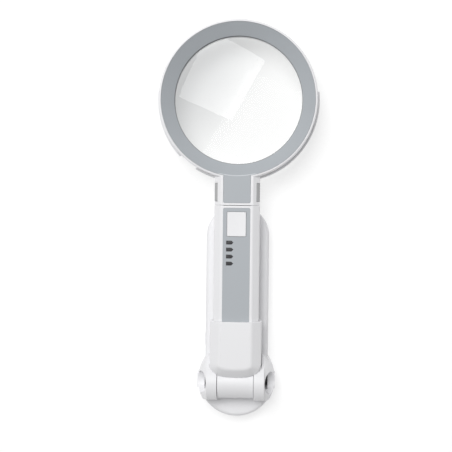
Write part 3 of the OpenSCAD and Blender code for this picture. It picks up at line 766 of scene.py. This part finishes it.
def board(name):
    """A solder-masked board with paler tracks under the mask."""
    paint = Paint(name, {"Roughness": 0.32})
    tracks = paint.node("ShaderNodeTexBrick", {"offset": 0.5, "squash": 1.0},
                        {"Vector": paint.place, "Color1": (0, 0, 0, 1), "Color2": (0.1, 0.1, 0.1, 1),
                         "Mortar": (1, 1, 1, 1), "Scale": 260.0, "Mortar Size": 0.03}, "Fac")
    cloud = paint.noise(90.0)
    mask = paint.mix(cloud, mask_dark, mask_light)
    paint.feed("Base Color", paint.mix(tracks, mask, mask_over_track))
    paint.relief(tracks, 0.00003, 0.6)
    return paint.material


board_green = board("board_green")
for node in ("control_board", "charge_board"):
    carried(node, board_green)
carried("power_switch", socket_black)
carried("usb_socket", metal("socket_steel", (0.66, 0.66, 0.67),
                            roughness=0.3, grain=2000.0, depth=0.00001))
carried("contact_pins", metal("gilt", (0.85, 0.62, 0.25), roughness=0.22, grain=2600.0, depth=0.000005))
carried("handle_tongue", moulded_plastic("nylon_pale", (0.66, 0.69, 0.71), (0.58, 0.61, 0.63),
                                         roughness=0.5, grain=700.0, depth=0.00004))
carried("battery_cell", moulded_plastic("cell_sleeve", (0.08, 0.28, 0.46), (0.06, 0.23, 0.40),
                                        roughness=0.22, grain=500.0, depth=0.00002))
carried("handle_wires", moulded_plastic("wire_red", (0.42, 0.04, 0.03), (0.34, 0.03, 0.025),
                                        roughness=0.45, grain=1200.0, depth=0.00002))

# ---------------------------------------------------------------------------
# Cup. The thick socket that the handle stands in, moulded in white ABS, with a
# curved bevel at its foot and the hinge barrel moulded on below.
# ---------------------------------------------------------------------------
cup_round = 0.0020
cup_rear_round = 0.0006
cup_lip_round = 0.0005
cup_front_flat = 0.0067
cup_rear_flat = 0.0055
cup_end_curve = 0.0115
cup_end_fullness = 2.6
cup_back = 0.0144
cup_foot_step = 0.0045
cutter_reach = 0.03
bore_reach = 0.02
length_past = 0.01
mouth_past = 0.002
barrel_radius = 0.011
barrel_half = 0.01275
ear_clearance = 0.0129
handle_play = 0.00025
handle_front_flat = 0.0046
handle_rear_flat = 0.005

cup_high = Vector(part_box("cradle_cup")[1])
cap_low, cap_high = (Vector(corner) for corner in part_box("hinge_cap_right"))
hinge_along = (cap_low.y + cap_high.y) / 2
hinge_high = (cap_low.z + cap_high.z) / 2
cup_foot = hinge_along + cup_foot_step
handle_low = Vector(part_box("handle_rear_shell")[0])
handle_high = Vector(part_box("handle_front_shell")[1])


def block(name, low, high):
    """A plain block between two corners, to be worked on."""
    bpy.ops.object.select_all(action="DESELECT")
    bpy.ops.mesh.primitive_cube_add(size=1)
    piece = bpy.context.object
    piece.scale = [b - a for a, b in zip(low, high)]
    piece.location = [(a + b) / 2 for a, b in zip(low, high)]
    return started(name)


def across(name, radius, start, end):
    """A round bar along X about the hinge's axis."""
    bpy.ops.object.select_all(action="DESELECT")
    bpy.ops.mesh.primitive_cylinder_add(vertices=96, radius=radius, depth=end - start,
                                        rotation=(0, math.pi / 2, 0),
                                        location=((start + end) / 2, hinge_along, hinge_high))
    return started(name)


def eight_sided(piece, front_flat, rear_flat):
    """Takes the long edges of a block off to eight sides."""
    middle_z = sum(corner[2] for corner in piece.bound_box) / 8
    round_edges(piece, front_flat, 1,
                lambda middle, one, other: along_neck(middle, one, other) and middle.z > middle_z,
                least=80)
    round_edges(piece, rear_flat, 1,
                lambda middle, one, other: along_neck(middle, one, other) and middle.z < middle_z,
                least=80)


bpy.ops.object.select_all(action="DESELECT")
bpy.ops.mesh.primitive_cylinder_add(vertices=144, radius=1, depth=1)
cup = bpy.context.object
cup.scale = (cup_high.x, cup_end_curve, cup_high.z - cup_back)
cup.location = (0, cup_foot + cup_end_curve, (cup_back + cup_high.z) / 2)
cup = started("cup_moulding")
bpy.ops.object.mode_set(mode="EDIT")
bpy.ops.mesh.select_mode(type="VERT")
bpy.ops.mesh.select_all(action="DESELECT")
cup_skin = bmesh.from_edit_mesh(cup.data)
for vert in cup_skin.verts:
    # The plain round end is made fuller, nearer to a round-cornered square
    across_part = vert.co.x / cup_high.x
    along_part = (vert.co.y - cup_foot - cup_end_curve) / cup_end_curve
    vert.co.x = math.copysign(abs(across_part) ** (2 / cup_end_fullness), across_part) * cup_high.x
    vert.co.y = (math.copysign(abs(along_part) ** (2 / cup_end_fullness), along_part) * cup_end_curve
                 + cup_foot + cup_end_curve)
    vert.select_set(along_part > 0.001)
bmesh.update_edit_mesh(cup.data)
bpy.ops.transform.translate(value=(0, cup_high.y - cup_foot, 0))
bpy.ops.object.mode_set(mode="OBJECT")
round_edges(cup, cup_front_flat, 1, lambda middle, one, other: middle.z > cup_high.z - 10 * hair, least=80)
round_edges(cup, cup_rear_flat, 1, lambda middle, one, other: middle.z < cup_back + 10 * hair, least=80)
cup_middle = (cup_back + cup_high.z) / 2
round_edges(cup, cup_round, 5, lambda middle, one, other: middle.z > cup_middle, least=40, most=50)
round_edges(cup, cup_rear_round, 3, lambda middle, one, other: middle.z < cup_middle, least=40, most=50)
cup_length = block("cup_length", (-cutter_reach, cup_foot - length_past, 0),
                   (cutter_reach, cup_high.y, 2 * cutter_reach))
combined(cup, cup_length, "INTERSECT")
round_edges(cup, cup_lip_round, 3, lambda middle, one, other: one.y > 0.9 or other.y > 0.9, least=60)

# The barrel, room for the ears, the handle's pocket and the bore for the bushings
combined(cup, across("barrel", barrel_radius, -barrel_half, barrel_half), "UNION")
combined(cup, across("left_room", ear_clearance, -cutter_reach, -barrel_half), "DIFFERENCE")
combined(cup, across("right_room", ear_clearance, barrel_half, cutter_reach), "DIFFERENCE")
pocket = block("pocket",
               (handle_low.x - handle_play, handle_low.y - handle_play, handle_low.z - handle_play),
               (handle_high.x + handle_play, cup_high.y + mouth_past, handle_high.z + handle_play))
eight_sided(pocket, handle_front_flat, handle_rear_flat)
combined(cup, pocket, "DIFFERENCE")
bore_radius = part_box("hinge_bushings")[1][2] - hinge_high
combined(cup, across("bore", bore_radius, -bore_reach, bore_reach), "DIFFERENCE")
finished(cup, "cradle_cup", "cradle", white_satin)

# ---------------------------------------------------------------------------
# Hinge. A steel bolt and nut in brass bushings, black friction washers that
# hold the cup at any angle, and a white cap pressed in over each end.
# ---------------------------------------------------------------------------
cap_round = 0.0003

hinge_steel = metal("hinge_steel", (0.58, 0.59, 0.60), roughness=0.3, grain=1800.0, depth=0.00001)
for node in ("hinge_bolt", "hinge_nut"):
    carried(node, hinge_steel)
carried("hinge_bushings", metal("bushing_brass", (0.72, 0.52, 0.22),
                                roughness=0.3, grain=1800.0, depth=0.00001))
carried("friction_washers", socket_black)
for side, hand in ((-1, "left"), (1, "right")):
    cap = copied_shape("hinge_cap_" + hand, "hinge_plug_" + hand)
    round_edges(cap, cap_round, 3,
                lambda middle, one, other: one.x * side > 0.9 or other.x * side > 0.9, least=60)
    finished(cap, "hinge_cap_" + hand, "base", white_satin)

# ---------------------------------------------------------------------------
# Base. One moulding in white ABS: the long slab behind the handle, the round
# foot, and the two ears of the hinge that rise out of it, with a deep slot
# beside each. A pale cover, screwed on below, shuts the painted iron weight in.
# ---------------------------------------------------------------------------
ear_round = 0.0009
ear_out = cap_high.x
ear_low = 0.0145
ear_half = 0.0135
ear_radius = 0.0115
slot_radius = 0.0064
slot_width = 0.0021
slot_depth = 0.0092
slot_gap = 0.0001

base = copied_shape("base_top_shell", "base_moulding")
for side in (-1, 1):
    bpy.ops.object.select_all(action="DESELECT")
    bpy.ops.mesh.primitive_cylinder_add(vertices=48, radius=slot_radius, depth=slot_width,
                                        rotation=(0, math.pi / 2, 0),
                                        location=(side * (ear_out + slot_width / 2 + slot_gap),
                                                  hinge_along, hinge_high - slot_depth))
    combined(base, started("slot_cutter"), "DIFFERENCE")
round_edges(base, ear_round, 3,
            lambda middle, one, other: middle.z > ear_low and abs(middle.y - hinge_along) < ear_half
            and (abs(one.x) > 0.9 or abs(other.x) > 0.9) and abs(abs(middle.x) - ear_out) < 20 * hair
            and math.hypot(middle.y - hinge_along, middle.z - hinge_high) > ear_radius, least=50)
finished(base, "base_top_shell", "base", white_satin)

carried("base_bottom_cover", moulded_plastic("cover_pale", (0.68, 0.69, 0.70), (0.64, 0.65, 0.66),
                                             roughness=0.55, grain=1600.0, depth=0.00004))
carried("base_weight", moulded_plastic("ballast_painted", (0.22, 0.23, 0.24), (0.14, 0.15, 0.155),
                                       roughness=0.6, grain=600.0, depth=0.0002))

# ---------------------------------------------------------------------------
# Feet. Four soft rubber discs stuck in the cover, each dished underneath so
# that it holds the table.
# ---------------------------------------------------------------------------
foot_radius = 0.005
foot_round = 0.00025
foot_rim = 0.0009
foot_dish_edge = 0.0003
foot_dish = 0.00035
foot_low, foot_high = (Vector(corner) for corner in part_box("base_feet"))
foot_rows = ((0.012, foot_high.y - foot_radius), (0.015, foot_low.y + foot_radius))
foot_places = [(side * spread, along) for spread, along in foot_rows for side in (-1, 1)]
foot_rubber = moulded_plastic("foot_rubber", (0.035, 0.036, 0.038), (0.022, 0.023, 0.025),
                              roughness=0.8, grain=1400.0, depth=0.00006)

bpy.ops.object.select_all(action="DESELECT")
bpy.ops.mesh.primitive_cylinder_add(vertices=64, radius=foot_radius, depth=foot_high.z - foot_low.z,
                                    location=(0, 0, (foot_high.z + foot_low.z) / 2))
foot_first = started("foot_pattern")
round_edges(foot_first, foot_round, 3, lambda middle, one, other: middle.z < 10 * hair, least=60)
bpy.ops.object.mode_set(mode="EDIT")
select_faces(foot_first, lambda middle, normal: middle.z < hair)
bpy.ops.mesh.inset(thickness=foot_rim)
bpy.ops.mesh.inset(thickness=foot_dish_edge)
bpy.ops.transform.translate(value=(0, 0, foot_dish))
bpy.ops.object.mode_set(mode="OBJECT")
for number, (x, y) in enumerate(foot_places):
    foot = moved_copy(foot_first, "rubber_foot_%d" % (number + 1), (x, y, 0))
    finished(foot, "base_feet", "base", foot_rubber)
bpy.data.objects.remove(foot_first, do_unlink=True)

# ---------------------------------------------------------------------------
# Screws. Plated steel pan heads with a cross recess, all driven from behind:
# two in the head, five in the handle and five in the base.
# ---------------------------------------------------------------------------
screw_shaft_radius = 0.001
screw_head_round = 0.4
screw_cross_span = 1.15
screw_cross_width = 0.22
screw_sorts = (
    # node, body, radius of the head, height of the head
    ("head_screws", "head", 0.00185, 0.0016),
    ("handle_screws", "handle", 0.00185, 0.0014),
    ("base_screws", "base", 0.0023, 0.00085),
)
screw_steel = metal("screw_steel", (0.60, 0.61, 0.62), roughness=0.25, grain=2600.0, depth=0.00001)


def cross_screw(name, head_radius, head_height, shaft_radius, length):
    """A cross-recessed screw with its head's outer face at z = 0 and its shaft upwards."""
    bpy.ops.object.select_all(action="DESELECT")
    bpy.ops.mesh.primitive_cylinder_add(vertices=32, radius=head_radius, depth=head_height,
                                        location=(0, 0, head_height / 2))
    screw = started(name)
    round_edges(screw, head_height * screw_head_round, 3,
                lambda middle, one, other: middle.z < head_height / 4, least=60)
    bpy.ops.object.mode_set(mode="EDIT")
    select_faces(screw, lambda middle, normal: normal.z > 0.9)
    bpy.ops.mesh.inset(thickness=head_radius - shaft_radius)
    bpy.ops.mesh.extrude_region_move(TRANSFORM_OT_translate={"value": (0, 0, length - head_height)})
    bpy.ops.object.mode_set(mode="OBJECT")
    for turned in (0, 1):
        bpy.ops.object.select_all(action="DESELECT")
        bpy.ops.mesh.primitive_cube_add(size=1)
        blade = bpy.context.object
        blade.scale = (head_radius * screw_cross_span, head_radius * screw_cross_width, head_height)
        blade.rotation_euler = (0, 0, turned * math.pi / 2)
        combined(screw, started("blade"), "DIFFERENCE")
    return screw


def solids_of(node):
    """The middle (x, y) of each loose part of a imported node."""
    skin = bmesh.new()
    skin.from_mesh(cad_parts[node].data)
    bmesh.ops.remove_doubles(skin, verts=skin.verts, dist=merge_distance)
    left = set(skin.verts)
    places = []
    while left:
        front = [left.pop()]
        part = []
        while front:
            vert = front.pop()
            part.append(vert.co.copy())
            joined = {edge.other_vert(vert) for edge in vert.link_edges} & left
            left -= joined
            front.extend(joined)
        xs = [place.x for place in part]
        ys = [place.y for place in part]
        places.append(((min(xs) + max(xs)) / 2, (min(ys) + max(ys)) / 2))
    skin.free()
    return sorted(set((round(x, 6), round(y, 6)) for x, y in places))


for node, body, head_radius, head_height in screw_sorts:
    low, high = (Vector(corner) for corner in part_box(node))
    pattern = cross_screw(node + "_pattern", head_radius, head_height, screw_shaft_radius,
                          high.z - low.z)
    for number, (x, y) in enumerate(solids_of(node)):
        screw = moved_copy(pattern, "%s_%d" % (node[:-1], number + 1), (x, y, low.z))
        finished(screw, node, body, screw_steel)
    bpy.data.objects.remove(pattern, do_unlink=True)
